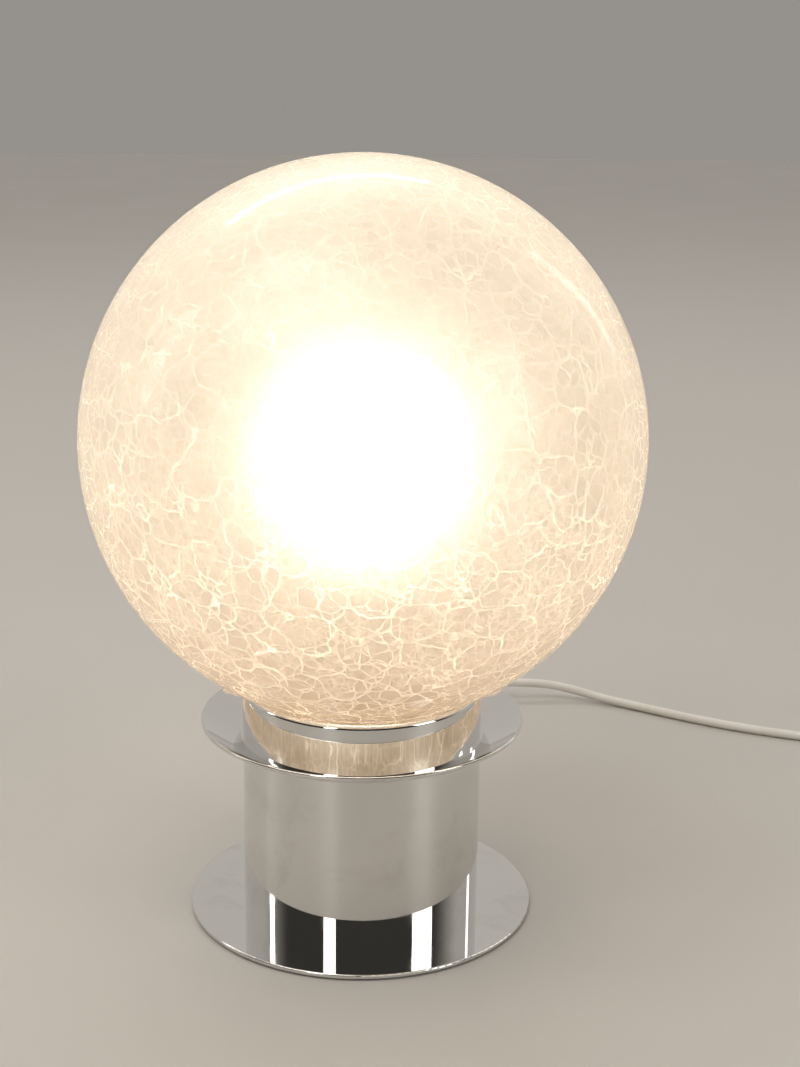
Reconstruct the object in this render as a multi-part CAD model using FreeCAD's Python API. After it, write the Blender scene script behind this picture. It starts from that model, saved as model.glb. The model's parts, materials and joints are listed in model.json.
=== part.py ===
"""Glass globe table lamp, as an assembly of separate pieces.

Millimetres, +Z up. The origin is the centre of the foot, on the surface that the lamp stands on.
The front is -Y. The mains lead leaves the column at the back and ends in a coil and a plug.
"""

import FreeCAD, Part
import math
import os

from FreeCAD import Vector

UP = Vector(0, 0, 1)

# ---------------------------------------------------------------- driving sizes
# Foot
felt_radius = 76.0
felt_thickness = 0.8
base_disc_radius = 80.0
base_disc_thickness = 2.0
disc_edge_round = 0.6

# Column
column_radius = 55.0
column_wall = 1.2
column_height = 80.2

# Ballast inside the column
ballast_height = 26.0
ballast_body_radius = 46.0
ballast_rim_height = 6.0
ballast_fit = 0.4
ballast_web = 7.0
nut_pocket_radius = 13.0

# Fasteners
tube_radius = 5.0
tube_bore_radius = 3.75
tube_clearance = 0.2
nut_across_flats = 17.0
nut_height = 5.5
thin_nut_height = 3.5
washer_radius = 11.0
washer_thickness = 1.2
tube_stick_out = 1.0
base_screw_count = 3
base_screw_circle = 34.0
base_screw_radius = 2.0
base_screw_head_radius = 3.8
base_screw_length = 13.0
screw_hole_clearance = 0.05
countersink_clearance = 0.1

# Upper disc, a shallow dish that slopes up to its rim, and gallery
upper_disc_overhang = 19.0
upper_disc_thickness = 2.0
upper_disc_depth = 8.6
upper_disc_sag = 0.8
upper_disc_land = 1.0
gallery_floor_thickness = 1.2
gallery_wall = 1.2
gallery_bead_radius = 2.2
gallery_bead_rise = 21.2
gasket_height = 4.2

# Globe
globe_radius = 125.0
globe_wall = 3.6
neck_side_room = 6.8
globe_neck_rise = 2.7
globe_neck_round = 1.6

# Lamp holder, Edison screw 27
holder_rise = 29.0
holder_radius = 20.0
holder_wall = 2.0
holder_floor = 3.0
holder_base_height = 16.0
holder_shell_height = 30.0
holder_mouth_radius = 15.2
holder_shoulder = 5.0
holder_ledge = 1.5
holder_ledge_height = 1.8
holder_tube_grip = 7.0
insulator_floor = 5.8
insulator_wall = 2.4
insulator_height = 29.3
terminal_offset = 9.5
terminal_screw_radius = 1.5
terminal_head_radius = 2.8
terminal_head_height = 2.0
terminal_screw_length = 3.8
thread_pitch = 3.629
thread_mean_radius = 12.6
thread_swing = 0.5
thread_sections = 8
thread_clearance = 0.3
screw_shell_wall = 0.4
screw_shell_height = 22.0
contact_strip_length = 14.0
contact_strip_width = 5.0
contact_strip_thickness = 0.6
contact_tongue_radius = 2.4
contact_tongue_rise = 1.4

# Bulb, pear shape
bulb_radius = 30.0
bulb_wall = 0.9
bulb_neck_radius = 12.9
bulb_neck_blend = 18.0
bulb_shoulder_angle = 40.0
bulb_centre_rise = 76.5
bulb_contact_radius = 4.6
bulb_contact_height = 1.0
bulb_insulator_radius = 9.5
bulb_insulator_height = 2.6
bulb_cap_cone = 1.4
bulb_cap_thread_height = 17.6
bulb_cap_skirt_height = 4.6
bulb_cap_skirt_lip = 0.2
bulb_cap_root_step = 0.1
bulb_cap_sheet = 0.4
bulb_cap_bore_radius = 11.7

# Running gap between pieces that come apart
seat_gap = 0.3

# Mains lead
cord_radius = 2.5
cord_exit_height = 12.0
cord_bore_clearance = 0.1
boot_length = 30.0
boot_root_radius = 5.5
boot_tip_radius = 3.6
boot_flange_radius = 7.0
boot_flange_thickness = 2.0
boot_inner_flange = 2.5
boot_inner_gap = 0.8
boot_neck_radius = 4.9
boot_hole_clearance = 0.1
sheath_end = 10.5
wire_radius = 0.95
wire_spacing = 2.6
wire_flare = 2.4
channel_width = 9.0
channel_head_room = 0.7
boot_pocket_width = 17.0
boot_pocket_start = 44.0
clamp_length = 25.0
clamp_width = 11.0
clamp_thickness = 3.0
clamp_pad_length = 8.4
clamp_centre = 30.0
clamp_screw_offset = 9.0
clamp_screw_radius = 1.5
clamp_screw_length = 11.0

# Inline switch
switch_length = 62.0
switch_width = 26.0
switch_height = 15.0
switch_corner_round = 6.0
switch_top_round = 2.4
switch_foot_round = 0.8
switch_wall = 1.8
switch_side_wall = 2.4
switch_cavity_length = 34.0
switch_parting = 6.0
switch_heading = 105.0
switch_start = (-40.0, 190.0)
rocker_length = 20.4
rocker_width = 11.2
rocker_gap = 0.4
rocker_opening_length = 22.0
rocker_pivot_height = 12.8
rocker_tilt = 8.0
rocker_crest = 3.4
rocker_dip = 1.6
rocker_keel = 4.5
rocker_keel_half = 4.0
rocker_pin_radius = 1.0
rocker_pin_half = 8.2
pin_clearance = 0.06
ear_half = 3.0
ear_drop = 1.8
contact_block = (7.0, 5.0, 5.0)
contact_block_offset = 9.0
switch_screw_inset = (9.0, 8.0)
switch_screw_radius = 1.3
switch_screw_head_radius = 2.6
switch_screw_head_height = 1.6
switch_screw_recess = 0.4
switch_screw_length = 11.0

# Plug with two round pins
plug_thickness = 13.7
plug_outline = [(0, 6.5), (9, 8.0), (20, 17.65), (36, 17.65)]
plug_corner_round = 2.0
plug_edge_round = 1.6
plug_pin_radius = 2.0
plug_pin_length = 19.0
plug_pin_spacing = 18.6
plug_pin_root = 6.0
plug_pin_round = 1.0
plug_heading = 104.0
plug_rear = (346.0, 290.0)

# Coil of the spare lead
coil_centre = (314.0, 223.5)
coil_outer_radius = 37.2
coil_pitch = 5.6
coil_turns = 6.25
coil_entry_angle = -90.0

# Route of the lead, between the pieces that it joins: chosen by hand, z is the cord's centre
lead_points = [
    (-3.0, 122.0, 8.6),
    (-11.0, 143.0, 4.6),
    (-24.0, 160.5, 4.2),
]
run_points = [
    (-56.5, 289.0, 3.4),
    (-39.0, 309.0, 2.6),
    (-11.0, 317.0, 2.6),
    (17.0, 308.0, 2.7),
    (40.5, 287.5, 3.4),
    (63.0, 267.5, 7.2),
    (87.0, 257.5, 10.8),
    (109.5, 259.0, 10.0),
    (129.0, 257.5, 6.6),
    (147.0, 250.5, 3.2),
    (168.0, 238.5, 2.6),
    (194.0, 221.5, 2.5),
    (222.0, 206.5, 2.5),
    (253.0, 194.0, 2.5),
]
lead_first_run = 15.0
lead_last_run = 13.0
run_first_run = 16.0
run_last_run = 26.0
tail_first_run = 16.0
tail_last_run = 14.0

# ---------------------------------------------------------------- heights, from the foot up
base_disc_bottom = felt_thickness
base_disc_top = base_disc_bottom + base_disc_thickness
column_top = base_disc_top + column_height
upper_disc_floor = column_top + upper_disc_thickness
upper_disc_rim = upper_disc_floor + upper_disc_depth
gallery_floor_top = upper_disc_floor + gallery_floor_thickness
bead_height = upper_disc_floor + gallery_bead_rise
bead_circle = column_radius - gallery_bead_radius
globe_reach = globe_radius + gallery_bead_radius + seat_gap
globe_centre = bead_height + math.sqrt(globe_reach**2 - bead_circle**2)
globe_neck_bottom = gallery_floor_top + globe_neck_rise
globe_neck_radius = column_radius - gallery_wall - neck_side_room

ballast_top = base_disc_top + ballast_height
pocket_top = ballast_top - ballast_web
lower_nut_top = pocket_top - washer_thickness
tube_bottom = lower_nut_top - nut_height - tube_stick_out
holder_bottom = gallery_floor_top + holder_rise
tube_top = holder_bottom + holder_tube_grip
holder_joint = holder_bottom + holder_base_height
insulator_bottom = holder_joint - holder_ledge_height
socket_floor = insulator_bottom + insulator_floor
contact_top = socket_floor + contact_strip_thickness + contact_tongue_rise
bulb_bottom = contact_top + seat_gap
bulb_insulator_bottom = bulb_bottom + bulb_contact_height
bulb_cap_bottom = bulb_insulator_bottom + bulb_insulator_height
bulb_thread_bottom = bulb_cap_bottom + bulb_cap_cone
bulb_thread_top = bulb_thread_bottom + bulb_cap_thread_height
bulb_glass_bottom = bulb_thread_top + bulb_cap_skirt_height
bulb_centre = bulb_bottom + bulb_centre_rise

cord_bore_radius = cord_radius + cord_bore_clearance
channel_top = cord_exit_height + cord_radius + channel_head_room
boot_start = column_radius + boot_hole_clearance
boot_tip = boot_start + boot_flange_thickness + boot_length


# ---------------------------------------------------------------- helpers
def disc(radius, bottom, top):
    return Part.makeCylinder(radius, top - bottom, Vector(0, 0, bottom))


def ring(outer, inner, bottom, top):
    return disc(outer, bottom, top).cut(disc(inner, bottom - 1, top + 1))


def box(low, high):
    size = [b - a for a, b in zip(low, high)]
    return Part.makeBox(*size, Vector(*low))


def rod(radius, start, end):
    start, end = Vector(*start), Vector(*end)
    return Part.makeCylinder(radius, (end - start).Length, start, end - start)


def polygon_face(points):
    corners = [Vector(*p) for p in points]
    return Part.Face(Part.makePolygon(corners + corners[:1]))


def lathe(edges, axis=UP):
    """The solid that a closed outline sweeps round an axis through the origin."""
    return Part.Face(Part.Wire(edges)).revolve(Vector(0, 0, 0), axis, 360)


def hex_nut(bottom, height):
    corner = nut_across_flats / math.sqrt(3)
    points = []
    for side in range(6):
        angle = math.radians(60 * side)
        points.append((corner * math.cos(angle), corner * math.sin(angle), bottom))
    blank = polygon_face(points).extrude(Vector(0, 0, height))
    return blank.cut(disc(tube_radius + tube_clearance, bottom - 1, bottom + height + 1))


def washer(bottom):
    return ring(washer_radius, tube_radius + tube_clearance, bottom, bottom + washer_thickness)


def round_edges(solid, radius, wanted):
    """Fillet the edges whose middle point passes the test."""
    chosen = [e for e in solid.Edges if wanted(e.valueAt((e.FirstParameter + e.LastParameter) / 2))]
    return solid.makeFillet(radius, chosen)


def on_circle(centre_angle, radius, height=0.0):
    angle = math.radians(centre_angle)
    return Vector(radius * math.cos(angle), radius * math.sin(angle), height)


def placed(shape, start, heading):
    """Turn a piece made along +X to a heading in degrees, and set it down at start."""
    moved = shape.copy()
    moved.rotate(Vector(0, 0, 0), UP, heading)
    moved.translate(Vector(start[0], start[1], 0))
    return moved


def along(start, heading, distance, height):
    angle = math.radians(heading)
    return Vector(start[0] + distance * math.cos(angle), start[1] + distance * math.sin(angle), height)


def rounded_path(points):
    """Straight runs joined by tangent arcs, each as large as its two runs allow."""
    share = 0.45
    points = [Vector(*p) for p in points]
    edges, radii = [], []
    here = points[0]
    for before, corner, after in zip(points, points[1:], points[2:]):
        come, go = corner - before, after - corner
        reach = share * min(come.Length, go.Length)
        come.normalize()
        go.normalize()
        half_turn = come.getAngle(go) / 2
        radius = reach / math.tan(half_turn)
        inward = go - come
        inward.normalize()
        start, end = corner - come * reach, corner + go * reach
        middle = corner + inward * (radius / math.cos(half_turn) - radius)
        edges.append(Part.LineSegment(here, start).toShape())
        edges.append(Part.Arc(start, middle, end).toShape())
        radii.append(radius)
        here = end
    edges.append(Part.LineSegment(here, points[-1]).toShape())
    return Part.Wire(edges), radii


def swept_tube(name, path, radius):
    """A round tube along a path, with its volume compared with section times length."""
    start = path.Edges[0].valueAt(path.Edges[0].FirstParameter)
    ahead = path.Edges[0].tangentAt(path.Edges[0].FirstParameter)
    section = Part.Wire([Part.Circle(start, ahead, radius).toShape()])
    tube = path.makePipeShell([section], True, False)
    wanted = math.pi * radius**2 * path.Length
    share = tube.Volume / wanted
    print(f"{name}: length {path.Length:.1f} mm, volume over section times length {share:.4f}")
    return tube


def routed_tube(name, points, radius):
    path, radii = rounded_path(points)
    print(f"{name}: arc radii " + ", ".join(f"{r:.0f}" for r in radii) + " mm")
    return swept_tube(name, path, radius)


# ---------------------------------------------------------------- foot and column
def base_screw_spots():
    return [on_circle(30 + 360 / base_screw_count * i, base_screw_circle) for i in range(base_screw_count)]


def countersunk(spot, bottom, shank, head, length):
    cone_height = head - shank
    cone = Part.makeCone(head, shank, cone_height, spot + UP * bottom)
    return cone.fuse(Part.makeCylinder(shank, length, spot + UP * bottom))


def make_felt_pad():
    return disc(felt_radius, 0, felt_thickness)


def make_rounded_disc(radius, bottom, thickness):
    blank = disc(radius, bottom, bottom + thickness)
    return blank.makeFillet(disc_edge_round, [e for e in blank.Edges if e.Closed])


def make_base_disc():
    plate = make_rounded_disc(base_disc_radius, base_disc_bottom, base_disc_thickness)
    for spot in base_screw_spots():
        plate = plate.cut(
            countersunk(
                spot,
                base_disc_bottom,
                base_screw_radius + countersink_clearance,
                base_screw_head_radius + countersink_clearance,
                base_screw_length,
            )
        )
    return plate


def make_base_screws():
    screws = [
        countersunk(spot, base_disc_bottom, base_screw_radius, base_screw_head_radius, base_screw_length)
        for spot in base_screw_spots()
    ]
    return Part.makeCompound(screws)


def make_column_tube():
    tube = ring(column_radius, column_radius - column_wall, base_disc_top, column_top)
    hole = rod(
        boot_neck_radius + boot_hole_clearance,
        (0, column_radius / 2, cord_exit_height),
        (0, column_radius * 2, cord_exit_height),
    )
    return tube.cut(hole)


def make_ballast():
    rim_radius = column_radius - column_wall - ballast_fit
    weight = disc(rim_radius, base_disc_top, base_disc_top + ballast_rim_height)
    weight = weight.fuse(disc(ballast_body_radius, base_disc_top, ballast_top))
    weight = weight.removeSplitter()
    weight = weight.cut(disc(nut_pocket_radius, base_disc_top - 1, pocket_top))
    weight = weight.cut(disc(tube_radius + tube_clearance, base_disc_top, ballast_top + 1))
    half = channel_width / 2
    channel = box((-half, 0, base_disc_top - 1), (half, column_radius, channel_top))
    half = boot_pocket_width / 2
    boot_pocket_top = cord_exit_height + boot_flange_radius + 2
    boot_pocket = box((-half, boot_pocket_start, base_disc_top - 1), (half, column_radius, boot_pocket_top))
    weight = weight.cut(channel).cut(boot_pocket)
    half = clamp_length / 2 + seat_gap
    side = clamp_width / 2 + seat_gap
    recess = box(
        (-half, clamp_centre - side, base_disc_top - 1),
        (half, clamp_centre + side, base_disc_top + clamp_thickness),
    )
    weight = weight.cut(recess)
    for spot in base_screw_spots():
        hole_radius = base_screw_radius + screw_hole_clearance
        weight = weight.cut(
            Part.makeCylinder(hole_radius, base_screw_length + 1, spot + UP * base_disc_bottom)
        )
    for side in (-1, 1):
        low = (side * clamp_screw_offset, clamp_centre, base_disc_top)
        high = (side * clamp_screw_offset, clamp_centre, base_disc_top + clamp_screw_length + 1)
        weight = weight.cut(rod(clamp_screw_radius + screw_hole_clearance, low, high))
    return weight


def make_threaded_tube():
    return ring(tube_radius, tube_bore_radius, tube_bottom, tube_top)


# ---------------------------------------------------------------- lead inside the lamp
def make_cord_boot():
    """Strain relief: outer flange, taper, neck through the column wall and inner flange."""
    inner_face = column_radius - column_wall - boot_inner_gap
    outline = [
        (cord_bore_radius, inner_face - boot_inner_flange),
        (boot_flange_radius, inner_face - boot_inner_flange),
        (boot_flange_radius, inner_face),
        (boot_neck_radius, inner_face),
        (boot_neck_radius, boot_start),
        (boot_flange_radius, boot_start),
        (boot_flange_radius, boot_start + boot_flange_thickness),
        (boot_root_radius, boot_start + boot_flange_thickness),
        (boot_tip_radius, boot_tip),
        (cord_bore_radius, boot_tip),
    ]
    face = polygon_face([(r, y, 0) for r, y in outline])
    boot = face.revolve(Vector(0, 0, 0), Vector(0, 1, 0), 360)
    boot.translate(UP * cord_exit_height)
    return boot


def make_cord_clamp():
    half, side = clamp_length / 2, clamp_width / 2
    top = base_disc_top + clamp_thickness
    plate = box((-half, clamp_centre - side, base_disc_top), (half, clamp_centre + side, top))
    pad_half = clamp_pad_length / 2
    pad_top = cord_exit_height - cord_radius - cord_bore_clearance
    pad = box((-pad_half, clamp_centre - side, top), (pad_half, clamp_centre + side, pad_top))
    clamp = plate.fuse(pad).removeSplitter()
    for screw in clamp_screws(countersink_clearance):
        clamp = clamp.cut(screw)
    return clamp


def clamp_screws(extra=0.0):
    head = 2 * clamp_screw_radius + extra
    shank = clamp_screw_radius + extra
    spots = [Vector(side * clamp_screw_offset, clamp_centre, 0) for side in (-1, 1)]
    return [countersunk(spot, base_disc_top, shank, head, clamp_screw_length) for spot in spots]


def make_cord_sheath():
    return rod(cord_radius, (0, sheath_end, cord_exit_height), (0, boot_tip, cord_exit_height))


def make_wire(name, side):
    """One insulated core, from the end of the sheath up the threaded tube to its terminal."""
    x = side * wire_spacing / 2
    terminal_height = insulator_bottom - terminal_head_height - wire_radius / 2
    wire_end = side * (terminal_offset - terminal_head_radius - cord_bore_clearance)
    points = [
        (x, sheath_end, cord_exit_height),
        (x, 0, cord_exit_height),
        (x, 0, terminal_height - 3 * wire_radius),
        (wire_flare * x, 0, terminal_height),
        (wire_end, 0, terminal_height),
    ]
    return routed_tube(name, points, wire_radius)


# ---------------------------------------------------------------- upper disc and gallery
def make_upper_disc():
    """Spun dish: flat where the column and the gallery clamp it, then sloping up to a rounded rim."""
    hole = tube_radius + tube_clearance
    flat_radius = column_radius + upper_disc_land
    rim_radius = column_radius + upper_disc_overhang
    middle_radius = (flat_radius + rim_radius) / 2
    middle_height = (upper_disc_floor + upper_disc_rim) / 2 - upper_disc_sag
    down = UP * -upper_disc_thickness
    hub = Vector(hole, 0, upper_disc_floor)
    bend = Vector(flat_radius, 0, upper_disc_floor)
    middle = Vector(middle_radius, 0, middle_height)
    rim = Vector(rim_radius, 0, upper_disc_rim)
    edges = [
        Part.LineSegment(hub, bend).toShape(),
        Part.Arc(bend, middle, rim).toShape(),
        Part.LineSegment(rim, rim + down).toShape(),
        Part.Arc(rim + down, middle + down, bend + down).toShape(),
        Part.LineSegment(bend + down, hub + down).toShape(),
        Part.LineSegment(hub + down, hub).toShape(),
    ]
    on_rim = lambda p: math.hypot(p.x, p.y) > rim_radius - 0.01 and p.x < 0
    return round_edges(lathe(edges), disc_edge_round, on_rim)


def make_gallery_cup():
    """Spun cup with a flat floor, a straight wall and a rolled bead that carries the globe."""
    hole = tube_radius + tube_clearance
    inner_wall = column_radius - gallery_wall
    under_bead = bead_height - math.sqrt(gallery_bead_radius**2 - (inner_wall - bead_circle) ** 2)
    corners = [
        (column_radius, bead_height),
        (column_radius, upper_disc_floor),
        (hole, upper_disc_floor),
        (hole, gallery_floor_top),
        (inner_wall, gallery_floor_top),
        (inner_wall, under_bead),
    ]
    points = [Vector(r, 0, z) for r, z in corners]
    edges = [Part.LineSegment(a, b).toShape() for a, b in zip(points, points[1:])]
    inner_side = Vector(bead_circle - gallery_bead_radius, 0, bead_height)
    edges.append(Part.Arc(points[-1], inner_side, points[0]).toShape())
    return lathe(edges)


def make_neck_gasket():
    outer = column_radius - gallery_wall
    inner = globe_neck_radius + seat_gap
    return ring(outer, inner, gallery_floor_top, gallery_floor_top + gasket_height)


def make_globe():
    """Blown globe with a short open neck that drops inside the gallery."""
    centre = Vector(0, 0, globe_centre)
    neck_meets = globe_centre - math.sqrt(globe_radius**2 - globe_neck_radius**2)
    neck_top = neck_meets + 2 * globe_wall
    inner_neck = globe_neck_radius - globe_wall
    below = min(globe_neck_bottom, globe_centre - globe_radius) - globe_wall
    outside = Part.makeSphere(globe_radius, centre)
    outside = outside.fuse(disc(globe_neck_radius, globe_neck_bottom, neck_top))
    outside = round_edges(outside, globe_neck_round, lambda p: abs(p.z - neck_meets) < 0.1)
    inside = Part.makeSphere(globe_radius - globe_wall, centre)
    inside = inside.fuse(disc(inner_neck, below, neck_top))
    return outside.cut(inside)


# ---------------------------------------------------------------- lamp holder
def thread_body(mean_radius, bottom, top):
    """A rounded screw thread: circles whose centre goes once round the axis in each pitch."""
    step = thread_pitch / thread_sections
    heights = [bottom + step * i for i in range(math.ceil((top - bottom) / step))]
    circles = []
    for height in heights + [top]:
        centre = on_circle(360 * height / thread_pitch, thread_swing, height)
        circles.append(Part.Wire([Part.Circle(centre, UP, mean_radius).toShape()]))
    return Part.makeLoft(circles, True, True)


def make_holder_base():
    """Cup that screws onto the threaded tube, with a ledge for the insulator."""
    inner = holder_radius - holder_wall
    ledge = inner - holder_ledge
    hole = tube_radius + tube_clearance
    low_radius = holder_radius - holder_shoulder
    shoulder = Vector(low_radius, 0, holder_bottom + holder_shoulder)
    bend = on_circle(-45, holder_shoulder)
    corners = [
        (holder_radius, holder_bottom + holder_shoulder),
        (holder_radius, holder_joint),
        (inner, holder_joint),
        (inner, insulator_bottom),
        (ledge, insulator_bottom),
        (ledge, holder_bottom + holder_floor),
        (hole, holder_bottom + holder_floor),
        (hole, holder_bottom),
        (low_radius, holder_bottom),
    ]
    points = [Vector(r, 0, z) for r, z in corners]
    edges = [Part.LineSegment(a, b).toShape() for a, b in zip(points, points[1:])]
    middle = shoulder + Vector(bend.x, 0, bend.y)
    edges.append(Part.Arc(points[-1], middle, points[0]).toShape())
    return lathe(edges)


def make_holder_shell():
    top = holder_joint + holder_shell_height
    shell = disc(holder_radius, holder_joint, top)
    shell = round_edges(shell, holder_wall / 2, lambda p: p.z > top - 0.01)
    shell = shell.cut(disc(holder_radius - holder_wall, holder_joint - 1, top - holder_wall))
    return shell.cut(disc(holder_mouth_radius, holder_joint, top + 1))


def terminal_spots():
    return [Vector(side * terminal_offset, 0, 0) for side in (-1, 1)]


def make_holder_insulator():
    flange_radius = holder_radius - holder_wall - seat_gap
    bore = thread_mean_radius + thread_swing + thread_clearance + screw_shell_wall + seat_gap
    body = disc(flange_radius, insulator_bottom, insulator_bottom + insulator_floor)
    body = body.fuse(disc(bore + insulator_wall, insulator_bottom, insulator_bottom + insulator_height))
    body = body.removeSplitter()
    body = body.cut(disc(bore, socket_floor, insulator_bottom + insulator_height + 1))
    for spot in terminal_spots():
        hole_radius = terminal_screw_radius + screw_hole_clearance
        depth = terminal_screw_length + screw_hole_clearance
        body = body.cut(Part.makeCylinder(hole_radius, depth, spot + UP * insulator_bottom))
    return body


def make_screw_shell():
    top = socket_floor + screw_shell_height
    bore = thread_mean_radius + thread_clearance
    outside = thread_body(bore + screw_shell_wall, socket_floor, top)
    inside = thread_body(bore, socket_floor - thread_pitch, top + thread_pitch)
    return outside.cut(inside)


def make_centre_contact():
    half, side = contact_strip_length / 2, contact_strip_width / 2
    strip_top = socket_floor + contact_strip_thickness
    strip = box((-half, -side, socket_floor), (half, side, strip_top))
    tongue = disc(contact_tongue_radius, socket_floor, contact_top)
    return strip.fuse(tongue).removeSplitter()


def make_terminal_screws():
    screws = []
    for spot in terminal_spots():
        seat = spot + UP * insulator_bottom
        head = Part.makeCylinder(terminal_head_radius, terminal_head_height, seat, UP * -1)
        shank = Part.makeCylinder(terminal_screw_radius, terminal_screw_length, seat)
        screws.append(head.fuse(shank).removeSplitter())
    return Part.makeCompound(screws)


# ---------------------------------------------------------------- bulb
def bulb_outline(inset):
    """Edges of the glass from its neck to its crown, inset by a wall thickness."""
    radius = bulb_radius - inset
    neck = bulb_neck_radius - inset
    blend = bulb_neck_blend + inset
    angle = math.radians(bulb_shoulder_angle)
    crown = Vector(0, 0, bulb_centre + radius)
    side = Vector(radius, 0, bulb_centre)
    leave = Vector(radius * math.cos(angle), 0, bulb_centre - radius * math.sin(angle))
    slope = Vector(-math.sin(angle), 0, -math.cos(angle))
    corner = leave + slope * ((leave.x - neck) / math.sin(angle))
    reach = blend * math.tan(angle / 2)
    upper, lower = corner - slope * reach, corner - UP * reach
    inward = UP * -1 - slope
    inward.normalize()
    middle = corner + inward * (blend / math.cos(angle / 2) - blend)
    foot = Vector(neck, 0, bulb_glass_bottom)
    return crown, foot, [
        Part.Arc(crown, side, leave).toShape(),
        Part.LineSegment(leave, upper).toShape(),
        Part.Arc(upper, middle, lower).toShape(),
        Part.LineSegment(lower, foot).toShape(),
    ]


def make_bulb_glass():
    outer_crown, outer_foot, outer = bulb_outline(0)
    inner_crown, inner_foot, inner = bulb_outline(bulb_wall)
    ends = [
        Part.LineSegment(outer_foot, inner_foot).toShape(),
        Part.LineSegment(inner_crown, outer_crown).toShape(),
    ]
    return lathe(Part.__sortEdges__(outer + inner + ends))


def make_bulb_cap():
    thread = thread_body(thread_mean_radius, bulb_thread_bottom, bulb_thread_top)
    root = thread_mean_radius - thread_swing - bulb_cap_root_step
    cone = Part.makeCone(bulb_insulator_radius, root, bulb_cap_cone, Vector(0, 0, bulb_cap_bottom))
    skirt_radius = thread_mean_radius + thread_swing + bulb_cap_skirt_lip
    skirt = disc(skirt_radius, bulb_thread_top, bulb_glass_bottom)
    bore = disc(bulb_cap_bore_radius, bulb_thread_bottom + bulb_cap_sheet, bulb_glass_bottom + 1)
    return thread.fuse([cone, skirt]).cut(bore)


def make_bulb_insulator():
    low_radius = bulb_contact_radius + 0.8
    return Part.makeCone(
        low_radius, bulb_insulator_radius, bulb_insulator_height, Vector(0, 0, bulb_insulator_bottom)
    )


def make_bulb_contact():
    button = disc(bulb_contact_radius, bulb_bottom, bulb_insulator_bottom)
    return round_edges(button, 0.5, lambda p: p.z < bulb_bottom + 0.01)


# ---------------------------------------------------------------- inline switch
def switch_block():
    half = switch_width / 2
    block = box((0, -half, 0), (switch_length, half, switch_height))
    block = round_edges(block, switch_corner_round, lambda p: 0.1 < p.z < switch_height - 0.1)
    block = round_edges(block, switch_top_round, lambda p: p.z > switch_height - 0.01)
    return round_edges(block, switch_foot_round, lambda p: p.z < 0.01)


def switch_cavity():
    middle = switch_length / 2
    half = switch_cavity_length / 2
    side = switch_width / 2 - switch_side_wall
    return box((middle - half, -side, switch_wall), (middle + half, side, switch_height - switch_wall))


def switch_screw_spots():
    inset, side = switch_screw_inset
    return [Vector(inset, side, 0), Vector(switch_length - inset, -side, 0)]


def switch_screws(extra=0.0):
    screws = []
    for spot in switch_screw_spots():
        head_bottom = switch_screw_recess - extra * switch_length
        head = Part.makeCylinder(
            switch_screw_head_radius + extra,
            switch_screw_recess + switch_screw_head_height - head_bottom,
            spot + UP * head_bottom,
        )
        shank = Part.makeCylinder(
            switch_screw_radius + extra,
            switch_screw_length + extra,
            spot + UP * switch_screw_recess,
        )
        screws.append(head.fuse(shank).removeSplitter())
    return screws


def make_switch_base():
    half = switch_width / 2
    lower = switch_block().common(box((0, -half, 0), (switch_length, half, switch_parting)))
    lower = lower.cut(switch_cavity())
    for screw in switch_screws(screw_hole_clearance):
        lower = lower.cut(screw)
    return lower


def make_switch_top():
    half = switch_width / 2
    middle = switch_length / 2
    upper = switch_block().common(box((0, -half, switch_parting), (switch_length, half, switch_height)))
    upper = upper.cut(switch_cavity())
    opening_side = rocker_width / 2 + rocker_gap
    ceiling = switch_height - switch_wall
    for side in (-1, 1):
        near, far = sorted((side * (opening_side + rocker_gap), side * (half - switch_side_wall)))
        upper = upper.fuse(
            box((middle - ear_half, near, ceiling - ear_drop), (middle + ear_half, far, ceiling))
        )
    upper = upper.removeSplitter()
    upper = upper.cut(
        box(
            (middle - rocker_opening_length / 2, -opening_side, ceiling - ear_drop - 1),
            (middle + rocker_opening_length / 2, opening_side, switch_height + 1),
        )
    )
    upper = upper.cut(rocker_pin(screw_hole_clearance))
    for screw in switch_screws(screw_hole_clearance):
        upper = upper.cut(screw)
    return upper


def rocker_pin(extra=0.0):
    middle = switch_length / 2
    reach = rocker_pin_half + extra
    return rod(
        rocker_pin_radius + extra,
        (middle, -reach, rocker_pivot_height),
        (middle, reach, rocker_pivot_height),
    )


def make_rocker():
    """Seesaw button with a dished top, at rest with its far end up."""
    half = rocker_length / 2
    side = rocker_width / 2
    outline = [
        (-half, 0),
        (-half, rocker_crest),
        (0, rocker_dip),
        (half, rocker_crest),
        (half, 0),
        (rocker_keel_half, -rocker_keel),
        (-rocker_keel_half, -rocker_keel),
    ]
    face = polygon_face([(x, -side, z) for x, z in outline])
    rocker = face.extrude(Vector(0, rocker_width, 0))
    rocker = rocker.cut(rod(rocker_pin_radius + pin_clearance, (0, -side - 1, 0), (0, side + 1, 0)))
    rocker.rotate(Vector(0, 0, 0), Vector(0, 1, 0), -rocker_tilt)
    rocker.translate(Vector(switch_length / 2, 0, rocker_pivot_height))
    return rocker


def make_switch_contacts():
    length, width, height = contact_block
    blocks = []
    for side in (-1, 1):
        x = switch_length / 2 + side * contact_block_offset
        low = (x - length / 2, -width / 2, switch_wall)
        high = (x + length / 2, width / 2, switch_wall + height)
        blocks.append(box(low, high))
    return Part.makeCompound(blocks)


def on_switch(shape):
    return placed(shape, switch_start, switch_heading)


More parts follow.
